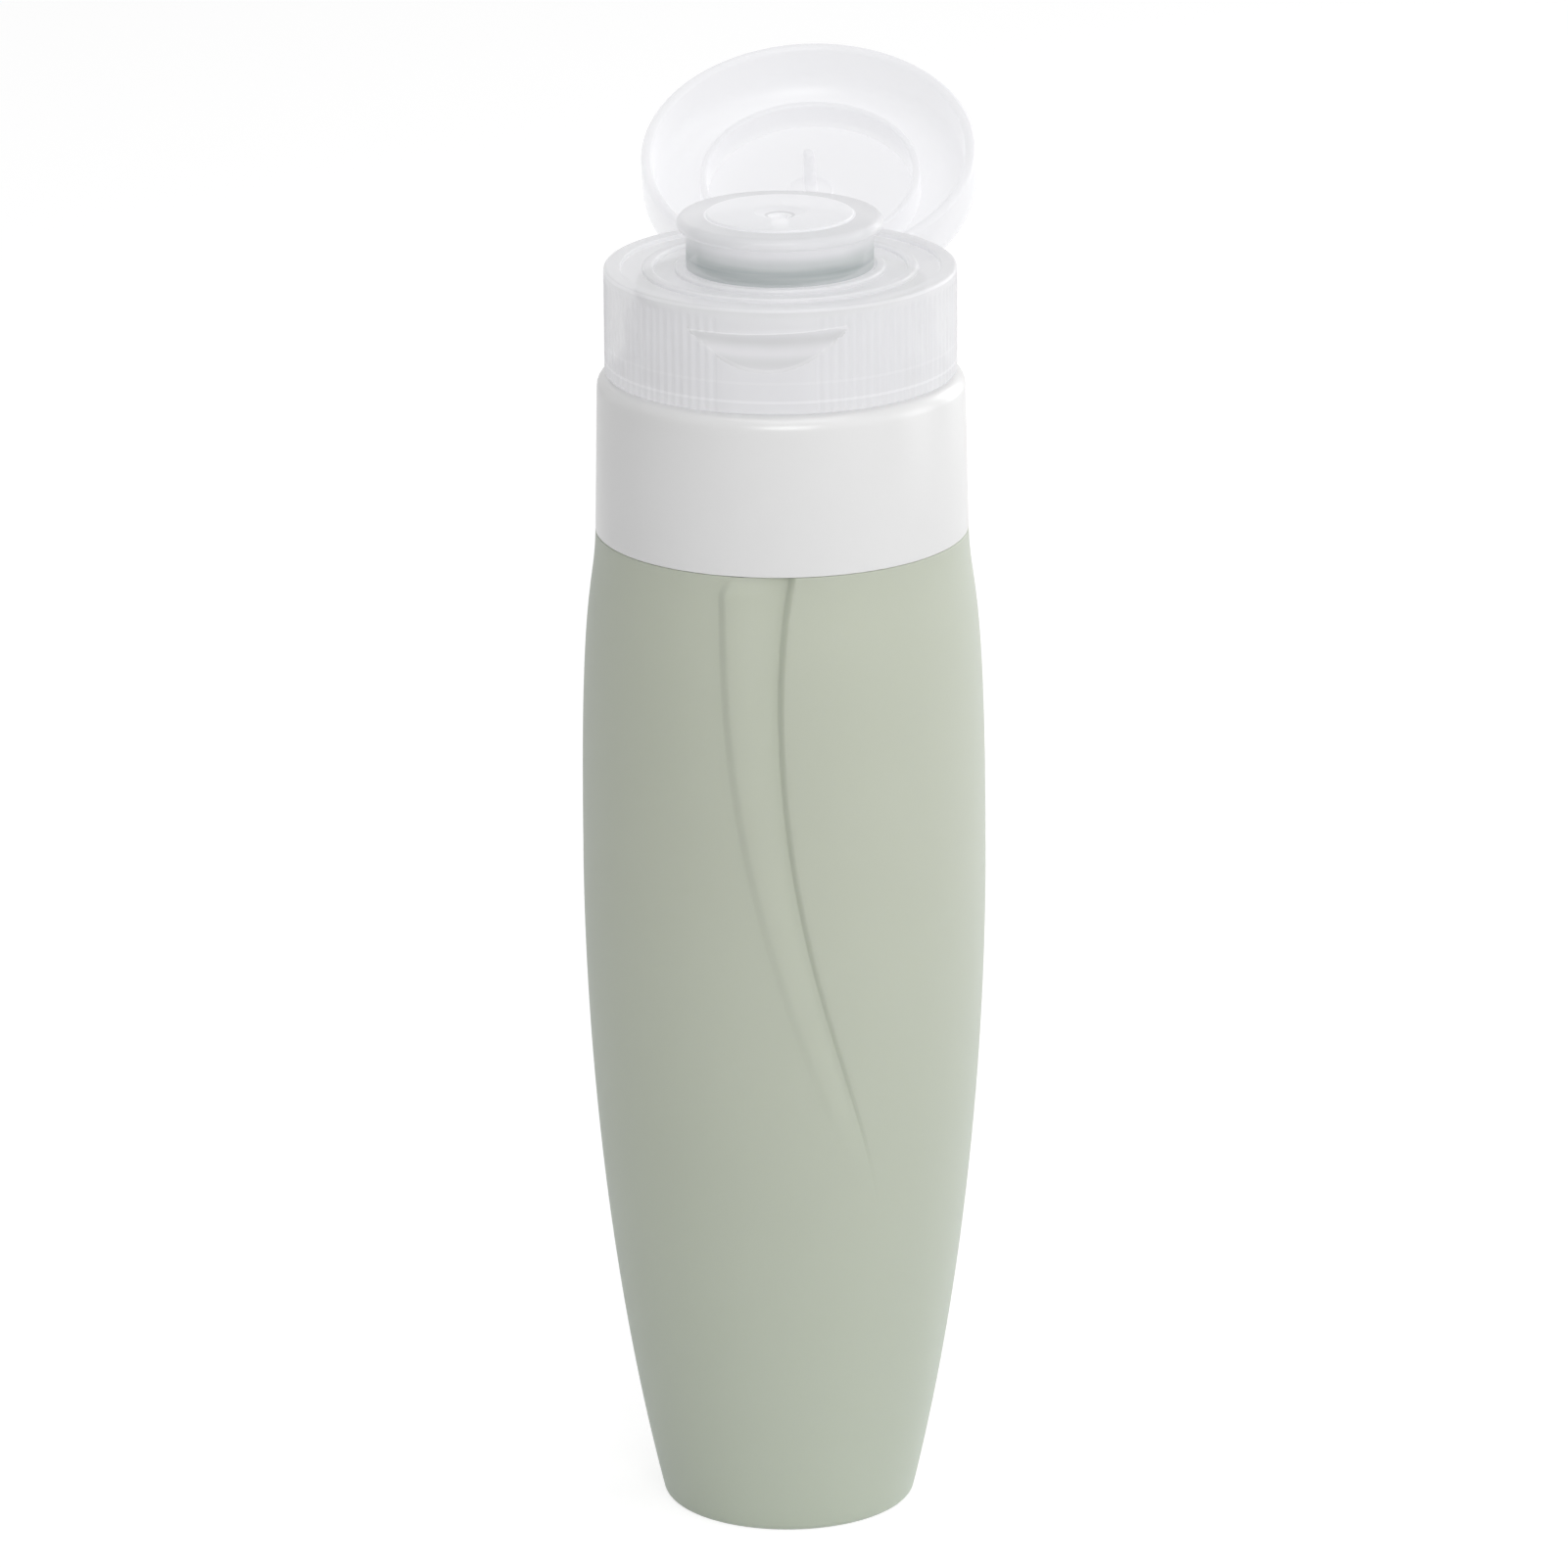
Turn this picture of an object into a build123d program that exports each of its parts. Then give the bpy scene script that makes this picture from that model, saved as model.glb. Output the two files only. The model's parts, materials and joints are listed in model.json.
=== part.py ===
from build123d import *
import math
import os

os.makedirs("parts", exist_ok=True)

# A squeezable travel bottle: a soft silicone body, a rigid collar clamped round its neck on a threaded
# insert, and a translucent screw cap with a mushroom spout and a flip lid, standing open.
# Millimetres, +Z up. The origin is on the bottle's axis, on the face it stands on. The thumb notch is
# at the front, -Y, and the lid's hinge at the back, +Y. Turns about the axis are degrees from the front,
# towards +X.

# Silicone body
foot_radius = 13.11  # where the side would meet the floor without its fillet
foot_fillet = 1.0
belly_radius = 21.0
belly_height = 73.0
seat_radius = 19.3  # the shoulder under the collar
seat_height = 106.45
body_wall = 2.0
floor_thickness = 2.4
foot_slope_share = 0.2415  # how fast the side widens at the foot and narrows at the seat
seat_slope_share = 0.0214
foot_pull_share = 0.48  # how far each end of the two side curves holds its direction
under_belly_pull_share = 0.0375
over_belly_pull_share = 0.846
seat_pull_share = 0.198

# Silicone neck, clamped between the insert's sleeve and the collar
seat_width = 2.1  # of the level shoulder round the neck
neck_wall = 2.2
neck_shoulder_depth = 2.3  # the cavity starts to close in this far below the seat
neck_shoulder_height = 2.9
neck_lip_round = 0.5
bead_radius = 0.45  # a ring that snaps into the collar
bead_height_share = 0.45
snug_clearance = 0.05

# Slanting relief down the front and the back: raised along its first edge, sunk along its crease
relief_rise = 0.35
relief_sink = 0.4
relief_root = 0.6  # how deep the raised band is rooted in the wall
relief_bottom = 39.3  # height where it has died out
edge_half_turn = 1.3  # half the width of the rise, and of the step behind the crease
relief_drop_shares = (0.012, 0.056, 0.17, 0.36, 0.55, 0.745, 0.887, 0.97)
edge_turns = (-11.5, -14.4, -12.8, -9.1, -1.2, 9.6, 19.2, 26.0)
crease_turns = (6.8, 5.6, 4.1, 5.4, 11.4, 20.4, 28.1, 32.4)
relief_strength_shares = (0.2, 1.0, 1.0, 1.0, 1.0, 0.85, 0.5, 0.12)
relief_copies = 2

# Collar
collar_height = 16.7
collar_taper = 0.35  # how much narrower its top is than the seat
collar_round = 1.5
collar_web = 1.4  # the inward rim that holds the insert down
collar_edge_round = 0.15

# Neck insert
finish_inset = 2.9  # from the silicone neck's side in to the root of the screw thread
finish_wall = 1.6
flange_inset = 0.4
flange_thickness = 1.0
sleeve_gap = 2.8  # from the seat up to the sleeve's lower end
sleeve_lead = 0.6
finish_round = 0.4
gasket_thickness = 1.0
gasket_round = 0.2
gasket_clearance = 0.1

# Screw cap
cap_step = 0.8  # inside the collar's top
cap_gap = 0.2  # above the collar
cap_height = 11.05  # from its lower edge to the shoulder
cap_shoulder_round = 0.6
cap_edge_round = 0.15
thread_room = 1.7  # between the thread's root and the skirt's bore
skirt_lead_flare = 0.6
skirt_lead_height = 1.5
skirt_bore_height = 5.7
deck_step_inset = 1.7  # the rim round the deck
deck_drop = 0.45  # of the deck, under the shoulder
deck_thickness = 1.4
deck_ridge_inset = 5.15  # from the cap's side in to the ridge's bore
deck_ridge_width = 1.2
deck_ridge_height = 0.45
spout_bead_gap = 0.75
spout_bead_size = 0.5
rib_count = 114
rib_groove_width = 0.5
rib_groove_depth = 0.24
rib_top_gap = 1.0  # from the grooves' upper ends to the shoulder
plain_panel_half_turn = 14.9
notch_cover = 2.46  # from its ceiling up to the shoulder
notch_drop = 4.2
notch_depth = 2.0
thread_pitch = 3.0  # of the thread that the cap runs on

# Spout
spout_inset = 8.5  # from the cap's side in to the spout's neck
spout_wall = 1.1
spout_lip_reach = 0.92
spout_height = 5.7  # from the deck to the top of the lip
spout_lip_thickness = 1.35
spout_lip_round = 0.7
spout_lip_under_round = 0.4
spout_top_wall = 1.25
plateau_inset = 2.97
plateau_height = 0.25
plateau_round = 0.2
dimple_radius = 2.65
dimple_depth = 0.5
orifice_radius = 0.84

# Flip lid
lid_inset = 0.35
lid_wall = 1.2
lid_headroom = 1.1  # over the spout
lid_crown = 0.6
lid_corner_round = 3.2
lid_inner_round = 2.0
lid_edge_round = 0.2
lid_seat_gap = 0.05
seal_ring_clearance = 0.38  # round the spout's lip
seal_ring_wall = 0.8
seal_ring_overlap = 2.0  # how far it reaches down past the top of the lip
pin_clearance = 0.14
pin_taper = 0.15
pin_entry = 0.4  # how far the pin reaches into the orifice
pin_boss_radius = 2.35
pin_boss_gap = 0.15

# Hinge between cap and lid
hinge_overhang = 0.55  # of its axis, outside the cap
hinge_drop = 2.88  # of its axis, under the shoulder
hinge_width = 9.0
hinge_slot = 0.9  # between the cap's boss and the lid's lug, with the lid shut
hinge_land = 0.15  # the boss and lug end this far inside the axis
hinge_boss_drop = 2.4
hinge_boss_root = 0.9
lug_depth = 1.35
lug_root_height = 1.2
lug_clearance = 0.2
film_radius = 0.3
lid_open_turn = 153.2

overrun = 1.0
search_steps = 30

# Heights worked out from the sizes above
collar_top = seat_height + collar_height
collar_web_low = collar_top - collar_web
flange_low = collar_web_low - flange_thickness
neck_top = flange_low
neck_height = neck_top - seat_height
sleeve_low = seat_height + sleeve_gap
cap_low = collar_top + cap_gap
shoulder_height = cap_low + cap_height
deck_top = shoulder_height - deck_drop
deck_low = deck_top - deck_thickness
finish_top = deck_low - gasket_thickness
lip_top = deck_top + spout_height
plateau_top = lip_top + plateau_height
spout_ceiling = lip_top - spout_top_wall
lid_rim = shoulder_height + lid_seat_gap
lid_ceiling = plateau_top + lid_headroom
lid_top = lid_ceiling + lid_wall
hinge_height = shoulder_height - hinge_drop

# Radii worked out from the seat inwards, and the hinge's place
neck_radius = seat_radius - seat_width
sleeve_radius = neck_radius - neck_wall - snug_clearance
flange_radius = neck_radius - flange_inset
finish_radius = neck_radius - finish_inset
insert_bore_radius = finish_radius - finish_wall
seal_bore_radius = finish_radius + neck_wall - finish_wall + gasket_clearance
collar_top_radius = seat_radius - collar_taper
cap_radius = collar_top_radius - cap_step
skirt_bore_radius = finish_radius + thread_room
skirt_lead_radius = skirt_bore_radius + skirt_lead_flare
deck_step_radius = cap_radius - deck_step_inset
deck_ridge_inner_radius = cap_radius - deck_ridge_inset
spout_neck_radius = cap_radius - spout_inset
spout_bead_radius = spout_neck_radius + spout_bead_gap
spout_lip_radius = spout_neck_radius + spout_lip_reach
plateau_radius = spout_lip_radius - plateau_inset
lid_radius = cap_radius - lid_inset
seal_ring_radius = spout_lip_radius + seal_ring_clearance
pin_radius = orifice_radius - pin_clearance
pin_tip_radius = pin_radius - pin_taper
hinge_reach = cap_radius + hinge_overhang
hinge_axis = Axis((0, hinge_reach, hinge_height), (-1, 0, 0))


def turned(outline):
    """A solid turned about the bottle's axis from (radius, height) corners, rounded where a third value is."""
    face = make_face(Polyline([corner[:2] for corner in outline], close=True))
    for radius, height, rounding in [corner for corner in outline if len(corner) > 2]:
        nearest = face.vertices().sort_by_distance(Vector(radius, height, 0))[0]
        face = fillet(nearest, rounding)
    return revolve(Plane.XZ * face, Axis.Z)


def ring(inner, outer, low, high):
    return turned([(inner, low), (outer, low), (outer, high), (inner, high)])


def side_curves(inset, low, high):
    """The body's side from its foot to its seat, this far inside the outer surface."""
    foot = foot_radius - inset
    belly = belly_radius - inset
    seat = seat_radius - inset
    below = belly_height - low
    above = high - belly_height
    foot_rise = foot_pull_share * below
    seat_drop = seat_pull_share * above
    lower = Bezier(
        (foot, low),
        (foot + foot_slope_share * foot_rise, low + foot_rise),
        (belly, belly_height - under_belly_pull_share * below),
        (belly, belly_height),
    )
    upper = Bezier(
        (belly, belly_height),
        (belly, belly_height + over_belly_pull_share * above),
        (seat + seat_slope_share * seat_drop, high - seat_drop),
        (seat, high),
    )
    return lower, upper


def side_radius(height):
    """The body's outer radius at a height, found by halving along its side curve."""
    lower, upper = side_curves(0, 0, seat_height)
    side = lower if height < belly_height else upper
    start, end = 0, 1
    for _ in range(search_steps):
        middle = (start + end) / 2
        if (side @ middle).Y < height:
            start = middle
        else:
            end = middle
    return (side @ middle).X


def at_turn(radius, turn, height):
    angle = math.radians(turn)
    return Vector(radius * math.sin(angle), -radius * math.cos(angle), height)


def relief_sections():
    """Level sections of the raised band and of the sunk crease, from the collar down."""
    bands, creases = [], []
    rows = zip(relief_drop_shares, edge_turns, crease_turns, relief_strength_shares)
    for drop, edge, crease, strength in rows:
        height = seat_height - drop * (seat_height - relief_bottom)
        skin = side_radius(height)
        rise, sink = strength * relief_rise, strength * relief_sink
        crest = edge + edge_half_turn
        crossing = crest + (crease - crest) * rise / (rise + sink)
        band = [
            (skin - relief_root, edge - edge_half_turn),
            (skin, edge - edge_half_turn),
            (skin + rise, crest),
            (skin - sink / 2, (crossing + crease) / 2),
            (skin - relief_root, (crossing + crease) / 2),
        ]
        groove = [
            (skin, crossing),
            (skin - sink, crease),
            (skin, crease + edge_half_turn),
            (skin + relief_root, crease + edge_half_turn),
            (skin + relief_root, crossing),
        ]
        for outline, faces in ((band, bands), (groove, creases)):
            corners = [at_turn(radius, turn, height) for radius, turn in outline]
            faces.append(make_face(Polyline(corners, close=True)))
    return bands, creases


def make_silicone_body():
    outer_lower, outer_upper = side_curves(0, 0, seat_height)
    cavity_top = seat_height - neck_shoulder_depth
    inner_lower, inner_upper = side_curves(body_wall, floor_thickness, cavity_top)
    neck_bore = neck_radius - neck_wall
    neck_edge = Polyline(
        (seat_radius, seat_height),
        (neck_radius, seat_height),
        (neck_radius, neck_top),
        (neck_bore, neck_top),
        (neck_bore, cavity_top + neck_shoulder_height),
        (seat_radius - body_wall, cavity_top),
    )
    floor_edge = Polyline(
        (foot_radius - body_wall, floor_thickness), (0, floor_thickness), (0, 0), (foot_radius, 0)
    )
    section = make_face([outer_lower, outer_upper, neck_edge, inner_upper, inner_lower, floor_edge])
    foot_corner = section.vertices().sort_by_distance(Vector(foot_radius, 0, 0))[0]
    section = fillet(foot_corner, foot_fillet)
    body = revolve(Plane.XZ * section, Axis.Z)
    body += Pos(0, 0, seat_height + bead_height_share * neck_height) * Torus(neck_radius, bead_radius)
    bands, creases = relief_sections()
    band = loft(bands)
    crease = loft(creases)
    for copy in range(relief_copies):
        around = Rot(0, 0, copy * 360 / relief_copies)
        body = body + around * band - around * crease
    return body


def make_collar():
    bore = neck_radius + snug_clearance
    shell = turned(
        [
            (finish_radius + snug_clearance, collar_web_low),
            (finish_radius + snug_clearance, collar_top, collar_edge_round),
            (collar_top_radius, collar_top, collar_round),
            (seat_radius, seat_height, collar_edge_round),
            (bore, seat_height),
            (bore, collar_web_low),
        ]
    )
    bead_height = seat_height + bead_height_share * neck_height
    return shell - Pos(0, 0, bead_height) * Torus(neck_radius, bead_radius + snug_clearance)


def make_neck_insert():
    return turned(
        [
            (insert_bore_radius, sleeve_low),
            (sleeve_radius - sleeve_lead, sleeve_low),
            (sleeve_radius, sleeve_low + sleeve_lead),
            (sleeve_radius, flange_low),
            (flange_radius, flange_low),
            (flange_radius, collar_web_low),
            (finish_radius, collar_web_low),
            (finish_radius, finish_top, finish_round),
            (insert_bore_radius, finish_top, finish_round),
        ]
    )


def make_sealing_gasket():
    outer = seal_bore_radius - gasket_clearance
    return turned(
        [
            (insert_bore_radius, finish_top, gasket_round),
            (outer, finish_top, gasket_round),
            (outer, finish_top + gasket_thickness, gasket_round),
            (insert_bore_radius, finish_top + gasket_thickness, gasket_round),
        ]
    )


def make_rib_grooves():
    """The narrow upright grooves between the cap's ribs, all round but for the plain front panel."""
    reach = rib_groove_depth + overrun
    flare = rib_groove_width / 2 * reach / rib_groove_depth
    root = -(cap_radius - rib_groove_depth)
    mouth = -(cap_radius + overrun)
    tooth = make_face(Polyline((0, root), (flare, mouth), (-flare, mouth), close=True))
    length = cap_height - rib_top_gap + overrun
    groove = Pos(0, 0, cap_low - overrun) * extrude(tooth, length)
    grooves = []
    for index in range(rib_count):
        turn = 360 * index / rib_count
        if min(turn, 360 - turn) > plain_panel_half_turn:
            grooves.append(Rot(0, 0, turn) * groove)
    return grooves


def make_thumb_notch():
    """A flat sloping slice off the front of the cap under a level ceiling."""
    ceiling = shoulder_height - notch_cover
    deepest = -(cap_radius - notch_depth)
    outside = -(cap_radius + overrun)
    foot = ceiling - notch_drop * (notch_depth + overrun) / notch_depth
    slice_face = make_face(Plane.YZ * Polyline((deepest, ceiling), (outside, ceiling), (outside, foot), close=True))
    return extrude(slice_face, cap_radius, both=True)


def make_spout():
    bore = spout_neck_radius - spout_wall
    lip_low = lip_top - spout_lip_thickness
    spout = turned(
        [
            (bore, deck_low),
            (spout_neck_radius, deck_low),
            (spout_neck_radius, lip_low),
            (spout_lip_radius, lip_low, spout_lip_under_round),
            (spout_lip_radius, lip_top, spout_lip_round),
            (plateau_radius, lip_top),
            (plateau_radius, plateau_top, plateau_round),
            (dimple_radius, plateau_top),
            (orifice_radius, plateau_top - dimple_depth),
            (orifice_radius, spout_ceiling),
            (bore, spout_ceiling, spout_top_wall / 2),
        ]
    )
    return spout + Pos(0, 0, deck_top) * Torus(spout_bead_radius, spout_bead_size)


def block(width, y_low, y_high, z_low, z_high):
    """A box centred on the symmetry plane."""
    size = (width, y_high - y_low, z_high - z_low)
    return Pos(0, (y_low + y_high) / 2, (z_low + z_high) / 2) * Box(*size)


def make_cap_base():
    spout_bore = spout_neck_radius - spout_wall
    cap = turned(
        [
            (skirt_lead_radius, cap_low),
            (cap_radius, cap_low, cap_edge_round),
            (cap_radius, shoulder_height, cap_shoulder_round),
            (deck_step_radius, shoulder_height, cap_edge_round),
            (deck_step_radius, deck_top),
            (spout_bore, deck_top),
            (spout_bore, deck_low),
            (seal_bore_radius, deck_low),
            (seal_bore_radius, cap_low + skirt_bore_height),
            (skirt_bore_radius, cap_low + skirt_bore_height),
            (skirt_bore_radius, cap_low + skirt_lead_height),
            (skirt_lead_radius, cap_low + skirt_lead_height),
        ]
    )
    cap = cap - make_rib_grooves()
    ridge_outer = deck_ridge_inner_radius + deck_ridge_width
    cap += turned(
        [
            (deck_ridge_inner_radius, deck_low + deck_thickness / 2),
            (ridge_outer, deck_low + deck_thickness / 2),
            (ridge_outer, deck_top + deck_ridge_height, deck_ridge_height * 0.8),
            (deck_ridge_inner_radius, deck_top + deck_ridge_height, deck_ridge_height * 0.8),
        ]
    )
    cap += make_spout()
    cap -= make_thumb_notch()
    boss_top = hinge_height - hinge_slot / 2
    boss_outer = hinge_reach - hinge_land
    boss_root = cap_radius - hinge_boss_root
    boss_face = make_face(
        Plane.YZ
        * Polyline(
            (boss_root, boss_top - hinge_boss_drop),
            (boss_outer, boss_top - hinge_boss_drop / 2),
            (boss_outer, boss_top),
            (boss_root, boss_top),
            close=True,
        )
    )
    cap += extrude(boss_face, hinge_width / 2, both=True)
    recess_floor = boss_outer - lug_depth - lug_clearance
    slot_width = hinge_width + 2 * lug_clearance
    cap -= block(slot_width, recess_floor, cap_radius + overrun, boss_top, shoulder_height + overrun)
    return cap


def make_shut_lid():
    skirt_inner = lid_radius - lid_wall
    lid = turned(
        [
            (skirt_inner, lid_rim, lid_edge_round),
            (lid_radius, lid_rim, lid_edge_round),
            (lid_radius, lid_top - lid_crown, lid_corner_round),
            (0, lid_top),
            (0, lid_ceiling),
            (skirt_inner, lid_ceiling - lid_crown, lid_inner_round),
        ]
    )
    ring_outer = seal_ring_radius + seal_ring_wall
    lid += ring(seal_ring_radius, ring_outer, lip_top - seal_ring_overlap, lid_ceiling)
    pin_low = plateau_top - dimple_depth - pin_entry
    boss_low = plateau_top + pin_boss_gap
    lid += turned(
        [
            (0, pin_low),
            (pin_tip_radius, pin_low),
            (pin_radius, boss_low),
            (pin_boss_radius, boss_low),
            (pin_boss_radius, lid_ceiling + lid_wall / 2),
            (0, lid_ceiling + lid_wall / 2),
        ]
    )
    lug_outer = hinge_reach - hinge_land
    lug_low = hinge_height + hinge_slot / 2
    lug_inner = lug_outer - lug_depth
    lug = block(hinge_width, lug_inner, lug_outer, lug_low, lid_rim + lug_root_height)
    lug += block(hinge_width, skirt_inner, lug_outer, lid_rim, lid_rim + lug_root_height)
    return lid + lug


def make_living_hinge(cap, lid):
    """The folded strip on top of the cap's boss, trimmed to the lid's lug as it stands open."""
    boss_top = hinge_height - hinge_slot / 2
    bend = Pos(0, hinge_reach - hinge_land, boss_top) * Rot(0, 90, 0) * Cylinder(film_radius, hinge_width)
    above = block(hinge_width, hinge_reach - overrun, hinge_reach + overrun, boss_top, boss_top + overrun)
    return (bend & above) - lid - cap


silicone_body = make_silicone_body()
collar = make_collar()
neck_insert = make_neck_insert()
sealing_gasket = make_sealing_gasket()
cap_base = make_cap_base()
lid = make_shut_lid().rotate(hinge_axis, lid_open_turn)
living_hinge = make_living_hinge(cap_base, lid)

parts = {
    "silicone_body": silicone_body,
    "collar": collar,
    "neck_insert": neck_insert,
    "sealing_gasket": sealing_gasket,
    "cap_base": cap_base,
    "lid": lid,
    "living_hinge": living_hinge,
}
for name, part in parts.items():
    export_step(part, f"parts/{name}.step")

print("finish top", round(finish_top, 3), "deck underside", round(deck_low, 3))
print("height with the lid shut", round(lid_top, 3))
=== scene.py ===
import json
import math
import bpy
import numpy as np
from mathutils import Matrix, Vector


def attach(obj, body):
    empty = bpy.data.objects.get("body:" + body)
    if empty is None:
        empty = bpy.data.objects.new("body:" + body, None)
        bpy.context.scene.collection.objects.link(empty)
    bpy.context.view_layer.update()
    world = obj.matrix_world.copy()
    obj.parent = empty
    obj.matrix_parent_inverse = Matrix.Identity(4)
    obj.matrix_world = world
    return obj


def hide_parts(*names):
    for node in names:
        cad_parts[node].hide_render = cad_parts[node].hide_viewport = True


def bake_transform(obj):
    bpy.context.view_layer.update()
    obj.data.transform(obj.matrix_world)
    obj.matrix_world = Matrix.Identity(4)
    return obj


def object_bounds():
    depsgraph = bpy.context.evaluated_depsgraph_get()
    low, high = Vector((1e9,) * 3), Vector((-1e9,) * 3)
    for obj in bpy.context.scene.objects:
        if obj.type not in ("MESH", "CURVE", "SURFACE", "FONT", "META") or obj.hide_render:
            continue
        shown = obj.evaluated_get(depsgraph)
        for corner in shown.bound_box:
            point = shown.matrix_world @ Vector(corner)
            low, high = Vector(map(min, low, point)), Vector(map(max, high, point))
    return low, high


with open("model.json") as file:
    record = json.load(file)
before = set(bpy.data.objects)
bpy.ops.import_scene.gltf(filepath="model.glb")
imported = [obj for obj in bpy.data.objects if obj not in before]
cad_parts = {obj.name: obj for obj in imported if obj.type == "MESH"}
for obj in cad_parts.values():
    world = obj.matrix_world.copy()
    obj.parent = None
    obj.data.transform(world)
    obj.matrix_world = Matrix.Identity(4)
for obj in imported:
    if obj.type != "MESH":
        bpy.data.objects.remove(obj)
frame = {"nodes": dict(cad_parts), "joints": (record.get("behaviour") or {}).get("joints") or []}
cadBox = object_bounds()
mm = 0.001
joints = {joint["name"]: joint for joint in frame["joints"]}
hinge = joints["lid_flip"]
hingeAt = Vector(hinge["pos_m"])
lidOpening = (
    Matrix.Translation(hingeAt)
    @ Matrix.Rotation(math.radians(-hinge["range_deg"][0]), 4, Vector(hinge["axis"]))
    @ Matrix.Translation(-hingeAt)
)
print("frame loaded")

# Shader maths: one wrapped socket, with the operators that the materials use


class Shade:
    def __init__(self, tree, socket):
        self.tree = tree
        self.socket = socket

    def maths(self, operation, *values):
        return self.node("ShaderNodeMath", {"operation": operation}, *values)

    def node(self, kind, settings=None, *values, out=0, **named):
        made = self.tree.nodes.new(kind)
        for name, setting in (settings or {}).items():
            setattr(made, name, setting)
        inputs = dict(enumerate(values))
        inputs.update((name.replace("_", " "), value) for name, value in named.items())
        for index, value in inputs.items():
            if isinstance(value, Shade):
                self.tree.links.new(value.socket, made.inputs[index])
            else:
                made.inputs[index].default_value = value
        return Shade(self.tree, made.outputs[out])

    def __add__(self, other):
        return self.maths("ADD", self, other)

    def __radd__(self, other):
        return self.maths("ADD", other, self)

    def __sub__(self, other):
        return self.maths("SUBTRACT", self, other)

    def __rsub__(self, other):
        return self.maths("SUBTRACT", other, self)

    def __mul__(self, other):
        return self.maths("MULTIPLY", self, other)

    def __rmul__(self, other):
        return self.maths("MULTIPLY", other, self)


def startMaterial(name, **fixed):
    material = bpy.data.materials.new(name)
    material.use_nodes = True
    tree = material.node_tree
    surface = tree.nodes["Principled BSDF"]
    for socket, value in fixed.items():
        surface.inputs[socket.replace("_", " ")].default_value = value
    place = Shade(tree, tree.nodes.new("ShaderNodeTexCoord").outputs["Object"])
    return material, tree, surface, place


def feed(tree, surface, **links):
    for socket, shade in links.items():
        tree.links.new(shade.socket, surface.inputs[socket.replace("_", " ")])


def axesOf(place):
    axes = place.node("ShaderNodeSeparateXYZ", None, Vector=place).socket.node.outputs
    return [Shade(place.tree, axis) for axis in axes]


def noiseOf(place, size, detail=2.0):
    return place.node(
        "ShaderNodeTexNoise", None, Vector=place, Scale=1 / size, Detail=detail, Roughness=0.5
    )


def bumpOf(height, strength, distance):
    return height.node("ShaderNodeBump", None, Strength=strength, Distance=distance, Height=height)


def mixColours(share, first, second):
    mixed = share.node("ShaderNodeMix", {"data_type": "RGBA"}, out=2)
    made = mixed.socket.node
    share.tree.links.new(share.socket, made.inputs[0])
    for index, colour in ((6, first), (7, second)):
        if isinstance(colour, Shade):
            share.tree.links.new(colour.socket, made.inputs[index])
        else:
            made.inputs[index].default_value = colour
    return mixed


# the low colour is painted shade for the foot, a little darker and greener than the rest
silicone = {
    "pale": (0.524, 0.555, 0.462, 1), "deep": (0.474, 0.505, 0.417, 1), "cloudSize": 0.030,
    "low": (0.478, 0.527, 0.438, 1), "footShadeFrom": 0.075, "footShadeShare": 0.85, "satin": 0.5, "satinSpread": 0.1,
    "satinSize": 0.0075, "grainSize": 0.00035, "grainStrength": 0.35, "grainDepth": 0.00002,
}


def sageSilicone():
    # softly clouded, with painted shade towards the foot, which is a little darker and greener
    material, tree, surface, place = startMaterial(
        "sageSilicone", Subsurface_Weight=0.12, Subsurface_Scale=0.003, Subsurface_Radius=(1.0, 1.0, 0.7),
        Specular_IOR_Level=0.4, Sheen_Weight=0.25, Sheen_Tint=(0.9, 0.98, 1, 1),
    )
    height = axesOf(place)[2]
    # painted shade: the colour turns darker and greener towards the foot
    low = place.maths("MAXIMUM", silicone["footShadeShare"] * (1 - height * (1 / silicone["footShadeFrom"])), 0.0)
    clouded = mixColours(noiseOf(place, silicone["cloudSize"]), silicone["deep"], silicone["pale"])
    grain = noiseOf(place, silicone["grainSize"], detail=3.0)
    feed(
        tree, surface,
        Base_Color=mixColours(low, clouded, silicone["low"]),
        Roughness=silicone["satin"] + silicone["satinSpread"] * noiseOf(place, silicone["satinSize"]),
        Normal=bumpOf(grain, silicone["grainStrength"], silicone["grainDepth"]),
    )
    return material


gloss = {
    "white": (0.76, 0.76, 0.76, 1), "shade": (0.73, 0.73, 0.73, 1), "waveSize": 0.012, "waveStrength": 0.2,
    "waveDepth": 0.00002, "roughness": 0.30, "roughnessSpread": 0.05, "coat": 0.35, "coatSpread": 0.1,
}


def whiteGloss():
    material, tree, surface, place = startMaterial(
        "whiteGloss", Coat_Roughness=0.24, Specular_IOR_Level=0.55
    )
    wave = noiseOf(place, gloss["waveSize"], detail=1.0)
    feed(
        tree, surface,
        Base_Color=mixColours(wave, gloss["shade"], gloss["white"]),
        Roughness=gloss["roughness"] + gloss["roughnessSpread"] * wave,
        Coat_Weight=gloss["coat"] + gloss["coatSpread"] * wave,
        Normal=bumpOf(wave, gloss["waveStrength"], gloss["waveDepth"]),
    )
    return material


# Places in metres. The darker neck and notch are painted shade and the glows are painted light; the seams
# and rings are painted highlights, given as pairs of a height or radius and a brightness

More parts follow.
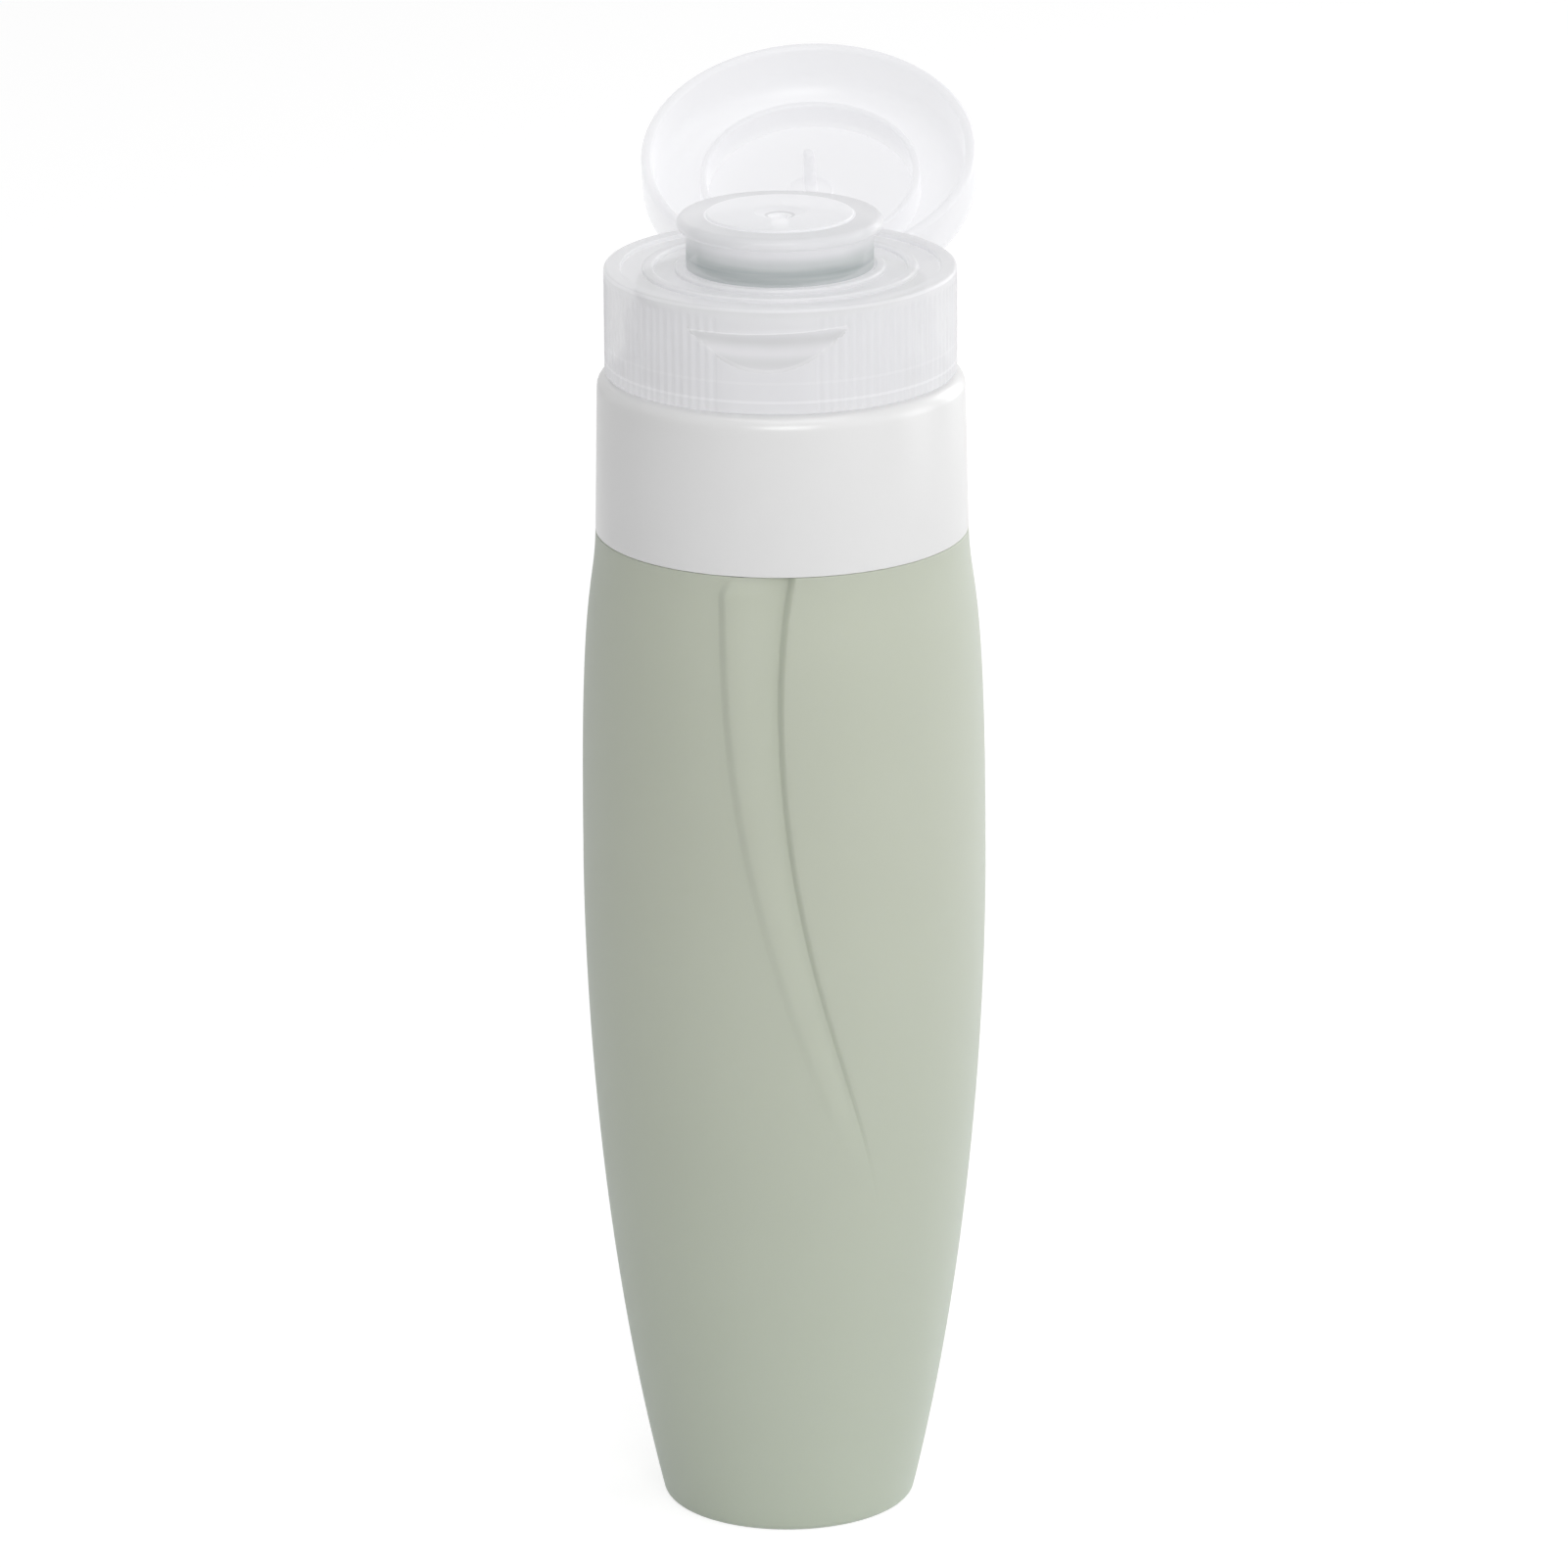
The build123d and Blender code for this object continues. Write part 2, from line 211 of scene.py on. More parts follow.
frosted = {
    "clear": (0.65, 0.65, 0.665, 1), "milky": (0.60, 0.60, 0.615, 1), "glow": (0.45, 0.45, 0.46, 1),
    "white": (1, 1, 1, 1), "cloudSize": 0.006, "cloudSpread": 0.08, "shadowShare": 0.3,
    "grainSize": 0.0004, "grainStrength": 0.3, "grainDepth": 0.00001,
    "neckShade": (0.25, 0.285, 0.28, 1), "neckShadeFrom": 0.1344, "neckShadeDepth": 0.0032, "neckShadeRadius": 0.0099,
    "neckShadePeak": 1.6, "streakSize": 0.0006, "streakStretch": 0.05, "streakFrom": 0.5, "streakShare": 0.65,
    "streakBump": 2.0,
    "slice": (0.36, 0.36, 0.36, 1), "sliceTop": 0.13194, "sliceY": -0.01615, "sliceSlope": 2.0 / 4.2,
    "sliceWidth": 0.00005, "sliceShare": 0.5, "sliceEdge": 0.25,
    "bandPitch": 0.0021, "bandFrom": 0.0008, "bandSag": 12.0, "bandShare": 0.4, "bandFade": 60,
    "ledgeDroop": 0.11, "ledgeTilt": 0.0325, "ledgeHalf": 0.0081, "ledgeHighlight": 0.4,
    "wallRadius": 0.01815, "edgeWidth": 0.00014,
    "seamHighlights": ((0.12462, 0.35), (0.12660, 0.12), (0.13415, 0.3)),
    "deckFrom": 0.13385, "ringWidth": 0.00009,
    "ringHighlights": ((0.01640, 0.25), (0.01405, 0.2), (0.01315, 0.2), (0.01075, 0.2)),
    "topFrom": 0.1396, "topRadius": 0.0078, "topGlowShare": 0.5, "holeFrom": 0.1384, "holeRadius": 0.00125,
    "lidFrom": 0.0187, "lidColour": (0.35, 0.35, 0.36, 1), "lidPaintedGlow": (1.27, 1.27, 1.30, 1),
}


def frostedPlastic(name, roughness, alpha, glow):
    # light passes into the milky plastic, so it casts a weak shadow; the glow is painted light, an
    # emission that stands in for the light it gathers, most where it is thin and lit from behind: the lid,
    # the spout's top and hole, and the cap's edges, rings and seams
    material, tree, surface, place = startMaterial(name, IOR=1.48, Emission_Strength=glow)
    x, y, height = axesOf(place)
    fromAxis = place.maths("SQRT", x * x + y * y)

    def over(shade, limit):
        return place.maths("GREATER_THAN", shade, limit)

    def under(shade, limit):
        return place.maths("LESS_THAN", shade, limit)

    def within(shade, width):
        return under(place.maths("ABSOLUTE", shade), width)

    def atMostOne(shade):
        return place.maths("MINIMUM", shade, 1.0)

    # the spout's neck: turning lines, and painted shade that darkens it towards its foot
    onNeck = over(height, frosted["neckShadeFrom"]) * under(fromAxis, frosted["neckShadeRadius"])
    up = (height - frosted["neckShadeFrom"]) * (1 / frosted["neckShadeDepth"])
    stretch = frosted["streakStretch"]
    stretched = place.node("ShaderNodeCombineXYZ", None, x * stretch, y * stretch, height)
    streaks = noiseOf(stretched, frosted["streakSize"], detail=1.0) * onNeck
    neckShade = onNeck * atMostOne(place.maths("MAXIMUM", frosted["neckShadePeak"] * (1 - up), 0.0))
    neckShade = neckShade * atMostOne(frosted["streakFrom"] + frosted["streakShare"] * streaks)

    # the thumb notch: painted shade darkens its slope, in bands standing for the thread behind, and
    # painted highlights lighten its edges
    below = frosted["sliceTop"] - height
    offSlice = y - frosted["sliceY"] + frosted["sliceSlope"] * below
    onSlice = within(offSlice, frosted["sliceWidth"]) * over(below, 0.0)
    sagging = below - frosted["bandFrom"] + frosted["bandSag"] * x * x
    shadeBands = place.maths("SINE", sagging * (math.tau / frosted["bandPitch"]))
    contrast = frosted["bandShare"] - frosted["bandFade"] * below
    # painted shade on the notch's slope, stronger in bands
    notchShadeMask = onSlice * (frosted["sliceShare"] + contrast * shadeBands)
    ahead = under(y, frosted["lidFrom"])
    nearWall = over(fromAxis, frosted["wallRadius"] - frosted["edgeWidth"]) * ahead
    offLedge = below + frosted["ledgeDroop"] * (y - frosted["sliceY"]) + frosted["ledgeTilt"] * x
    onLedge = within(offLedge, frosted["edgeWidth"]) * within(x, frosted["ledgeHalf"]) * under(y, 0.0)
    # painted highlights: thin bright lines on the ledge's edge and the slice's edge
    highlightLines = (frosted["ledgeHighlight"] * onLedge + frosted["sliceEdge"] * onSlice) * nearWall

    # painted highlights: thin bright lines along the cap's seams and the rings on its deck
    for seam, strength in frosted["seamHighlights"]:
        highlightLines = highlightLines + strength * within(height - seam, frosted["edgeWidth"]) * nearWall
    onDeck = over(height, frosted["deckFrom"]) * ahead
    for ring, strength in frosted["ringHighlights"]:
        highlightLines = highlightLines + strength * within(fromAxis - ring, frosted["ringWidth"]) * onDeck

    # painted glow: the lid and the spout's top glow brighter, and the hole gets a white painted highlight
    lid = over(y, frosted["lidFrom"])
    top = frosted["topGlowShare"] * over(height, frosted["topFrom"]) * under(fromAxis, frosted["topRadius"])
    hole = under(fromAxis, frosted["holeRadius"]) * over(height, frosted["holeFrom"])
    cloud = noiseOf(place, frosted["cloudSize"])
    grain = noiseOf(place, frosted["grainSize"])
    shadowRay = Shade(tree, place.node("ShaderNodeLightPath").socket.node.outputs["Is Shadow Ray"])
    plain = mixColours(cloud, frosted["clear"], frosted["milky"])
    # painted shade darkens the neck's colour and its glow
    neckShaded = mixColours(neckShade, plain, frosted["neckShade"])
    neckShadedGlow = mixColours(neckShade, frosted["glow"], frosted["neckShade"])
    paintedGlow = mixColours(lid + top, neckShadedGlow, frosted["lidPaintedGlow"])
    rough = grain + frosted["streakBump"] * streaks
    feed(
        tree, surface,
        Base_Color=mixColours(lid, mixColours(notchShadeMask, neckShaded, frosted["slice"]), frosted["lidColour"]),
        Roughness=roughness + frosted["cloudSpread"] * cloud,
        Alpha=alpha * (1 - (1 - frosted["shadowShare"]) * shadowRay),
        Emission_Color=mixColours(atMostOne(hole + highlightLines), paintedGlow, frosted["white"]),
        Normal=bumpOf(rough, frosted["grainStrength"], frosted["grainDepth"]),
    )
    return material


rubber = {
    "pale": (0.76, 0.77, 0.76, 1), "deep": (0.70, 0.71, 0.70, 1), "cloudSize": 0.006, "roughness": 0.55,
    "roughnessSpread": 0.1,
}


def gasketRubber():
    material, tree, surface, place = startMaterial("gasketRubber")
    cloud = noiseOf(place, rubber["cloudSize"])
    feed(
        tree, surface,
        Base_Color=mixColours(cloud, rubber["deep"], rubber["pale"]),
        Roughness=rubber["roughness"] + rubber["roughnessSpread"] * cloud,
    )
    return material


sageFinish = sageSilicone()
whiteFinish = whiteGloss()
# each plastic's glow is a painted glow, standing in for light gathered inside it
capFinish = frostedPlastic("frostedPlastic", roughness=0.32, alpha=0.62, glow=0.38)
neckFinish = frostedPlastic("naturalPlastic", roughness=0.36, alpha=0.40, glow=0.34)
gasketFinish = gasketRubber()
print("materials made")

# Modelling helpers; points closer than the weld distance, in metres, become one

weld = 0.002 * mm


def arcCorner(before, corner, after, radius, cuts=7):
    towards = (Vector(before) - Vector(corner)).normalized()
    onwards = (Vector(after) - Vector(corner)).normalized()
    half = math.acos(max(-1, min(1, towards.dot(onwards)))) / 2
    bisector = (towards + onwards).normalized()
    centre = Vector(corner) + bisector * radius / math.sin(half)
    first = Vector(corner) + towards * radius / math.tan(half) - centre
    last = Vector(corner) + onwards * radius / math.tan(half) - centre
    sweep = first.angle_signed(last)
    points = []
    for cut in range(cuts + 1):
        turn = -sweep * cut / cuts
        points.append((
            centre.x + first.x * math.cos(turn) - first.y * math.sin(turn),
            centre.y + first.x * math.sin(turn) + first.y * math.cos(turn),
        ))
    return points


def roundOff(corners, cuts=7):
    points = []
    for index, corner in enumerate(corners):
        if len(corner) == 2:
            points.append(corner)
        else:
            after = corners[(index + 1) % len(corners)]
            points += arcCorner(corners[index - 1][:2], corner[:2], after[:2], corner[2], cuts)
    return points


def clearSelection():
    if bpy.context.object and bpy.context.object.mode != "OBJECT":
        bpy.ops.object.mode_set(mode="OBJECT")
    bpy.ops.object.select_all(action="DESELECT")


def useOnly(piece):
    clearSelection()
    piece.select_set(True)
    bpy.context.view_layer.objects.active = piece


def spinProfile(name, points, steps):
    # a single vertex is extruded along the profile, in millimetres, and back to its start unless the
    # profile starts and ends on the axis; the wire is spun a quarter turn, which is then doubled twice
    if points[0][0] > 0 or points[-1][0] > 0:
        points = points + points[:1]
    clearSelection()
    bpy.ops.mesh.primitive_plane_add(size=mm)
    piece = bpy.context.object
    piece.name = name
    bpy.ops.object.mode_set(mode="EDIT")
    bpy.ops.mesh.merge(type="CENTER")
    bpy.ops.transform.translate(value=(points[0][0] * mm, 0, points[0][1] * mm))
    for (x, z), (nextX, nextZ) in zip(points, points[1:]):
        bpy.ops.mesh.extrude_vertices_move(
            TRANSFORM_OT_translate={"value": ((nextX - x) * mm, 0, (nextZ - z) * mm)}
        )
    bpy.ops.mesh.select_all(action="SELECT")
    bpy.ops.mesh.remove_doubles(threshold=weld)
    bpy.ops.mesh.spin(steps=steps // 4, angle=math.tau / 4, center=(0, 0, 0), axis=(0, 0, 1))
    for turn in (math.tau / 4, math.tau / 2):
        bpy.ops.mesh.select_all(action="SELECT")
        bpy.ops.mesh.duplicate()
        bpy.ops.transform.rotate(value=turn, orient_axis="Z", center_override=(0, 0, 0))
    bpy.ops.mesh.select_all(action="SELECT")
    bpy.ops.mesh.remove_doubles(threshold=weld)
    bpy.ops.mesh.normals_make_consistent(inside=False)
    bpy.ops.object.mode_set(mode="OBJECT")
    return piece


def readPoints(piece):
    points = np.empty(len(piece.data.vertices) * 3)
    piece.data.vertices.foreach_get("co", points)
    return points.reshape(-1, 3)


def writePoints(piece, points):
    piece.data.vertices.foreach_set("co", points.reshape(-1))
    piece.data.update()


def addBlock(name, low, high, bevel=0.0):
    # low and high corners in millimetres
    clearSelection()
    middle = [(a + b) / 2 * mm for a, b in zip(low, high)]
    bpy.ops.mesh.primitive_cube_add(size=1, location=middle)
    block = bpy.context.object
    block.name = name
    block.scale = [(b - a) * mm for a, b in zip(low, high)]
    bpy.ops.object.transform_apply()
    if bevel:
        bpy.ops.object.mode_set(mode="EDIT")
        bpy.ops.mesh.select_all(action="SELECT")
        bpy.ops.mesh.bevel(offset=bevel * mm, segments=3)
        bpy.ops.object.mode_set(mode="OBJECT")
    return block


def combine(piece, tool, operation):
    useOnly(piece)
    cutter = piece.modifiers.new(operation.lower(), "BOOLEAN")
    cutter.operation = operation
    cutter.object = tool
    bpy.ops.object.modifier_apply(modifier=cutter.name)
    bpy.data.objects.remove(tool)


def finishPiece(piece, finish, body, slotName, *nodes, smoothTo=35):
    useOnly(piece)
    bpy.ops.object.shade_smooth_by_angle(angle=math.radians(smoothTo))
    piece.data.materials.clear()
    piece.data.materials.append(finish)
    if body:
        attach(piece, body)
    if nodes:
        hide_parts(*nodes)


def bezierPoints(ends, count):
    a, b, c, d = [np.array(end, float) for end in ends]
    share = np.linspace(0, 1, count)[:, None]
    rest = 1 - share
    curve = rest**3 * a + 3 * rest**2 * share * b + 3 * rest * share**2 * c + share**3 * d
    return [tuple(point) for point in curve]


# Silicone body, in millimetres; relief turns are degrees from the front

body = {
    "footRadius": 13.11, "footRound": 1.0, "bellyRadius": 21.0, "bellyHeight": 73.0,
    "seatRadius": 19.3, "seatHeight": 106.45, "seatRound": 0.12, "wall": 2.0, "floor": 2.4,
    "footSlope": 0.2415, "seatSlope": 0.0214, "footPull": 0.48, "underBelly": 0.0375, "overBelly": 0.846,
    "seatPull": 0.198, "neckRadius": 17.2, "neckBore": 15.0, "neckHeight": 14.3, "cavityDrop": 2.3,
    "shoulder": 2.9, "steps": 288, "outerRows": 180, "innerRows": 45, "firstRow": 0.2,
    "drops": (0.012, 0.056, 0.17, 0.36, 0.55, 0.745, 0.887, 0.97), "reliefBottom": 39.3, "curveOrder": 5,
    "edges": (-14.0, -13.7, -12.0, -8.5, -1.1, 9.6, 19.3, 26.0),
    "creases": (6.5, 5.1, 3.3, 4.6, 9.8, 19.0, 27.3, 31.6), "columns": (-90, -40, -28, 8, 20, 90),
    "halfEdge": 1.6, "backWidth": 2.2, "widthLoss": 0.5, "hollow": 1.7, "backHollow": 1.5,
    "rise": 0.48, "riseLoss": 0.95, "riseStart": 0.03, "sink": 0.90, "sinkLoss": 0.80,
    "fadeShare": 0.25, "tail": 1.05, "curlTurn": 4.5, "curlShare": 0.035,
}


def bodySide(inset, low, high, rows):
    foot, belly, seat = (body[key] - inset for key in ("footRadius", "bellyRadius", "seatRadius"))
    below, above = body["bellyHeight"] - low, high - body["bellyHeight"]
    footRise, seatDrop = body["footPull"] * below, body["seatPull"] * above
    lower = bezierPoints((
        (foot, low), (foot + body["footSlope"] * footRise, low + footRise),
        (belly, body["bellyHeight"] - body["underBelly"] * below), (belly, body["bellyHeight"]),
    ), rows * 2 // 3)
    upper = bezierPoints((
        (belly, body["bellyHeight"]), (belly, body["bellyHeight"] + body["overBelly"] * above),
        (seat + body["seatSlope"] * seatDrop, high - seatDrop), (seat, high),
    ), rows // 3)
    return lower + upper[1:]


def smoothStep(share):
    share = np.clip(share, 0, 1)
    return share * share * (3 - 2 * share)


def shapeRelief(piece):
    # the mesh's columns slide round so that its edges follow the crest and the crease, then move in and
    # out, less and less towards the relief's foot; the second half turn repeats the first
    points = readPoints(piece)
    radius = np.hypot(points[:, 0], points[:, 1]) / mm
    height = points[:, 2] / mm
    turn = np.degrees(np.arctan2(points[:, 0], -points[:, 1]))
    edgeCurve = np.polyfit(body["drops"], body["edges"], body["curveOrder"])
    creaseCurve = np.polyfit(body["drops"], body["creases"], body["curveOrder"])
    drop = (body["seatHeight"] - height) / (body["seatHeight"] - body["reliefBottom"])
    along = np.clip(drop, 0, body["tail"])
    crease = np.polyval(creaseCurve, along)
    topCurl = body["curlTurn"] * (1 - np.clip(along / body["curlShare"], 0, 1)) ** 2
    edge = np.minimum(np.polyval(edgeCurve, along) + topCurl, crease - 2 * body["halfEdge"])
    fade = smoothStep((body["tail"] - drop) / body["fadeShare"])
    riseFade = fade * smoothStep(drop / body["riseStart"])
    outer = (radius > bodyInnerLimit(height)) & (height < body["seatHeight"] - 0.01)
    backWidth = body["backWidth"] * (1 - body["widthLoss"] * along)
    start, crest, step = edge - body["halfEdge"], edge + body["halfEdge"], crease + backWidth
    columns = body["columns"]
    places = (np.full_like(edge, columns[0]), start, crest, crease, step, np.full_like(edge, columns[-1]))
    rise = body["rise"] * (1 - body["riseLoss"] * np.clip(along, 0, 1)) * riseFade
    sink = body["sink"] * (1 - body["sinkLoss"] * along) * fade
    for half in (0, 180):
        local = (turn - half + 180) % 360 - 180
        mine = outer & (local >= -90) & (local < 90)
        moved = local.copy()
        for low, high, lowPlace, highPlace in zip(columns, columns[1:], places, places[1:]):
            share = (local - low) / (high - low)
            within = (share >= 0) & (share <= 1)
            moved[within] = (lowPlace + share * (highPlace - lowPlace))[within]
        climb = rise * smoothStep((moved - start) / (crest - start))
        slope = rise - (rise + sink) * np.clip((moved - crest) / (crease - crest), 0, 1) ** body["hollow"]
        back = -sink * np.clip((step - moved) / backWidth, 0, 1) ** body["backHollow"]
        offset = np.where(moved < crest, climb, np.where(moved < crease, slope, back))
        angle = np.radians(moved + half)
        points[mine, 0] = ((radius + offset) * np.sin(angle) * mm)[mine]
        points[mine, 1] = (-(radius + offset) * np.cos(angle) * mm)[mine]
    writePoints(piece, points)


def bodyInnerLimit(height):
    side = np.array(bodySide(body["wall"] / 2, 0, body["seatHeight"], body["outerRows"] // 2))
    return np.interp(height, side[:, 1], side[:, 0])


def makeBody():
    seat, cavityTop = body["seatHeight"], body["seatHeight"] - body["cavityDrop"]
    outer = bodySide(0, 0, seat, body["outerRows"])
    footArc = arcCorner((0, 0), outer[0], outer[4], body["footRound"], 8)
    rise = footArc[-1][1]
    profile = [(0, 0), (body["footRadius"] / 2, 0)] + footArc
    profile += [point for point in outer if rise + body["firstRow"] < point[1] < seat - body["seatRound"]]
    profile += arcCorner(outer[-3], outer[-1], (body["neckRadius"], seat), body["seatRound"], 3)
    profile += [
        (body["neckRadius"], seat), (body["neckRadius"], seat + body["neckHeight"]),
        (body["neckBore"], seat + body["neckHeight"]), (body["neckBore"], cavityTop + body["shoulder"]),
    ]
    profile += bodySide(body["wall"], body["floor"], cavityTop, body["innerRows"])[::-1]
    profile += [(0, body["floor"])]
    piece = spinProfile("bottleBody", profile, body["steps"])
    shapeRelief(piece)
    finishPiece(piece, sageFinish, "bottle", "sage_silicone", "silicone_body", smoothTo=50)


makeBody()
print("body made")

collar = {
    "height": 16.7, "topRadius": 18.95, "round": 1.5, "web": 1.4, "hole": 14.35, "bore": 17.25,
    "edgeRound": 0.18, "steps": 256,
}


def makeCollar():
    low, high = body["seatHeight"], body["seatHeight"] + collar["height"]
    piece = spinProfile("collarRing", roundOff([
        (collar["bore"], low), (body["seatRadius"], low, collar["edgeRound"]),
        (collar["topRadius"], high, collar["round"]), (collar["hole"], high, collar["edgeRound"]),
        (collar["hole"], high - collar["web"]), (collar["bore"], high - collar["web"]),
    ]), collar["steps"])
    finishPiece(piece, whiteFinish, "bottle", "white_gloss", "collar")


makeCollar()
print("collar made")

insert = {
    "bore": 12.7, "finishRadius": 14.3, "flangeRadius": 16.8, "sleeveRadius": 14.95, "sleeveLength": 11.5,
    "flangeLow": 120.75, "flangeHigh": 121.75, "top": 131.55, "round": 0.4, "lead": 0.6, "steps": 192,
    "threadLow": 124.35, "threadTurns": 1.25, "threadDepth": 0.95, "threadRoot": 1.7, "threadCrest": 0.7,
    "pitch": 3.0, "threadOverlap": 0.1, "threadSteps": 96, "runOutRate": 10, "runOutLeast": 0.05,
}


def makeThread(name, rootRadius, crestRadius, low):
    # a plane is pinched to the thread's section and screwed upwards, and both ends run out into the wall
    clearSelection()
    bpy.ops.mesh.primitive_plane_add(size=2)
    piece = bpy.context.object
    piece.name = name
    corners = readPoints(piece)
    crest = corners[:, 0] > 0
    halfHeight = np.where(crest, insert["threadCrest"], insert["threadRoot"]) / 2
    section = [np.where(crest, crestRadius, rootRadius), 0 * halfHeight, low + corners[:, 1] * halfHeight]
    writePoints(piece, np.stack(section, axis=1) * mm)
    bpy.ops.object.mode_set(mode="EDIT")
    bpy.ops.mesh.select_all(action="SELECT")
    bpy.ops.mesh.delete(type="ONLY_FACE")
    bpy.ops.object.mode_set(mode="OBJECT")
    helix = piece.modifiers.new("helix", "SCREW")
    helix.angle = math.tau * insert["threadTurns"]
    helix.screw_offset = insert["pitch"] * insert["threadTurns"] * mm
    helix.steps = helix.render_steps = int(insert["threadTurns"] * insert["threadSteps"])
    bpy.ops.object.modifier_apply(modifier=helix.name)
    bpy.ops.object.mode_set(mode="EDIT")
    bpy.ops.mesh.select_all(action="SELECT")
    bpy.ops.mesh.fill_holes(sides=4)
    bpy.ops.mesh.select_all(action="SELECT")
    bpy.ops.mesh.normals_make_consistent(inside=False)
    bpy.ops.object.mode_set(mode="OBJECT")
    points = readPoints(piece)
    radius = np.hypot(points[:, 0], points[:, 1])
    turns = np.arctan2(points[:, 1], points[:, 0]) / math.tau
    turns += np.round((points[:, 2] / mm - low) / insert["pitch"] - turns)
    fromEnd = np.minimum(turns, insert["threadTurns"] - turns)
    least = insert["runOutLeast"]
    runOut = least + (1 - least) * smoothStep(fromEnd * insert["runOutRate"])
    pulled = (rootRadius * mm + (radius - rootRadius * mm) * runOut) / radius
    points[:, :2] *= pulled[:, None]
    writePoints(piece, points)
    return piece


def makeInsert():
    sleeveLow = insert["flangeLow"] - insert["sleeveLength"]
    piece = spinProfile("neckInsert", roundOff([
        (insert["bore"], sleeveLow), (insert["sleeveRadius"] - insert["lead"], sleeveLow),
        (insert["sleeveRadius"], sleeveLow + insert["lead"]),
        (insert["sleeveRadius"], insert["flangeLow"]),
        (insert["flangeRadius"], insert["flangeLow"]), (insert["flangeRadius"], insert["flangeHigh"]),
        (insert["finishRadius"], insert["flangeHigh"]),
        (insert["finishRadius"], insert["top"], insert["round"]),
        (insert["bore"], insert["top"], insert["round"]),
    ]), insert["steps"])
    root = insert["finishRadius"] - insert["threadOverlap"]
    crest = insert["finishRadius"] + insert["threadDepth"]
    thread = makeThread("neckThread", root, crest, insert["threadLow"])
    combine(piece, thread, "UNION")
    finishPiece(piece, neckFinish, "bottle", "natural_plastic", "neck_insert")


makeInsert()
print("neck insert made")

# Cap and spout, in millimetres; the notch's tilt is its rise across the bottle, per millimetre

cap = {
    "low": 123.35, "shoulder": 134.4, "radius": 18.15, "shoulderRound": 0.4, "edgeRound": 0.15,
    "leadBore": 16.6, "leadHeight": 1.5, "bore": 16.0, "boreHeight": 5.7, "sealBore": 15.0,
    "deckStep": 16.45, "deckTop": 133.95, "deckLow": 132.55, "ridgeInner": 13.0, "ridgeOuter": 14.2,
    "ridgeHeight": 0.45, "ridgeRound": 0.36, "beadInner": 9.95, "beadOuter": 10.85, "beadHeight": 0.5,
    "beadRound": 0.3, "beadFoot": 0.1,
    "ribs": 114, "ribSamples": 6, "ribDepth": 0.11, "ribTopGap": 1.0, "plainTurn": 14.9,
    "wallRows": 30, "firstRow": 0.1, "ceilingGap": 0.02, "ribLead": 0.25,
    "notchTop": 131.94, "notchDrop": 4.2, "notchDepth": 2.0, "notchDroop": 0.22, "notchTilt": 0.0325,
    "recess": (4.7, 17.0, 20.0, 131.07, 136.0), "boss": (4.5, 17.25, 18.55, 128.67), "bossRound": 0.15,
}
spout = {
    "neck": 9.65, "bore": 8.55, "lip": 10.57, "lipLow": 138.3, "lipTop": 139.65, "lipRound": 0.7,
    "underRound": 0.4, "ceiling": 138.4, "ceilingRound": 0.6, "plateau": 7.6, "plateauHeight": 0.25,
    "plateauRound": 0.2, "dimple": 2.65, "dimpleRound": 0.4, "dimpleDepth": 0.5, "orifice": 0.84,
    "orificeRound": 0.15,
}


def capWall():
    # even rows up the outside to the notch's ceiling, which has two rows close together, and two at the
    # ribs' top
    low = cap["low"] + cap["edgeRound"] + cap["firstRow"]
    ribTop = cap["shoulder"] - cap["ribTopGap"]
    rows = [float(z) for z in np.linspace(low, cap["notchTop"] - cap["ceilingGap"], cap["wallRows"])]
    return [(cap["radius"], z) for z in rows + [cap["notchTop"], ribTop - cap["ribLead"], ribTop]]


def capProfile():
    outside = roundOff([
        (cap["leadBore"], cap["low"]), (cap["radius"], cap["low"], cap["edgeRound"]),
        (cap["radius"], cap["shoulder"]),
    ])[:-1]
    ridgeTop, beadTop = cap["deckTop"] + cap["ridgeHeight"], cap["deckTop"] + cap["beadHeight"]
    plateauTop = spout["lipTop"] + spout["plateauHeight"]
    boreTop, leadTop = cap["low"] + cap["boreHeight"], cap["low"] + cap["leadHeight"]
    top = roundOff([
        (cap["radius"], cap["low"]), (cap["radius"], cap["shoulder"], cap["shoulderRound"]),
        (cap["deckStep"], cap["shoulder"], cap["edgeRound"]), (cap["deckStep"], cap["deckTop"]),
        (cap["ridgeOuter"], cap["deckTop"]), (cap["ridgeOuter"], ridgeTop, cap["ridgeRound"]),
        (cap["ridgeInner"], ridgeTop, cap["ridgeRound"]), (cap["ridgeInner"], cap["deckTop"]),
        (cap["beadOuter"], cap["deckTop"]), (cap["beadOuter"], beadTop, cap["beadRound"]),
        (cap["beadInner"], beadTop, cap["beadRound"]), (spout["neck"], cap["deckTop"] + cap["beadFoot"]),
        (spout["neck"], spout["lipLow"]), (spout["lip"], spout["lipLow"], spout["underRound"]),
        (spout["lip"], spout["lipTop"], spout["lipRound"]), (spout["plateau"], spout["lipTop"]),
        (spout["plateau"], plateauTop, spout["plateauRound"]),
        (spout["dimple"], plateauTop, spout["dimpleRound"]),
        (spout["orifice"], plateauTop - spout["dimpleDepth"], spout["orificeRound"]),
        (spout["orifice"], spout["ceiling"]), (spout["bore"], spout["ceiling"], spout["ceilingRound"]),
        (spout["bore"], cap["deckLow"]), (cap["sealBore"], cap["deckLow"]),
        (cap["sealBore"], boreTop), (cap["bore"], boreTop),
        (cap["bore"], leadTop), (cap["leadBore"], leadTop),
    ], cuts=5)[1:]
    return outside + capWall() + top


